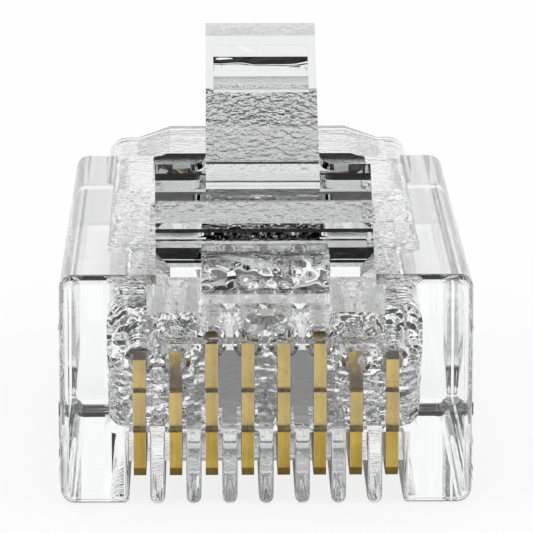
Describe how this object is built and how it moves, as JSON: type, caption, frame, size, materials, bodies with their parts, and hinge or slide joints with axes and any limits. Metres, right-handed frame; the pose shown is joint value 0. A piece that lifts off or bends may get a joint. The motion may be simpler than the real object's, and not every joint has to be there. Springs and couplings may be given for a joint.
{
  "type": "modular plug",
  "caption": "Clear modular network plug with recessed gold contact blades, sprung locking latch and hinged cable clamp, open at the back for a cable.",
  "frame": {"origin": "centre of the plug's base rectangle, on the contact side", "axes": "+Y from the nose to the cable end, +Z from the contact side to the latch, +X to the right seen from the nose"},
  "size_m": [0.0116, 0.0216, 0.0114],
  "materials": {
    "clear_housing": "clear gloss",
    "clear_latch": "clear gloss",
    "clear_clamp": "clear gloss",
    "gold_contact": "gold plated, polished"
  },
  "bodies": {
    "housing": {"housing": "clear_housing", "contact_1": "gold_contact", "contact_2": "gold_contact", "contact_3": "gold_contact", "contact_4": "gold_contact", "contact_5": "gold_contact", "contact_6": "gold_contact", "contact_7": "gold_contact", "contact_8": "gold_contact"},
    "latch": {"latch_lever": "clear_latch"},
    "clamp": {"cable_clamp": "clear_clamp"}
  },
  "joints": [
    {"name": "latch_hinge", "type": "hinge", "parent": "housing", "child": "latch", "pos_m": [0, -0.009, 0.00626], "axis": [-1, 0, 0], "range_deg": [0, 14], "stiffness_Nm_per_rad": 0.02},
    {"name": "clamp_hinge", "type": "hinge", "parent": "housing", "child": "clamp", "pos_m": [0, 0.00285, 0.0005], "axis": [-1, 0, 0], "range_deg": [0, 22]}
  ]
}
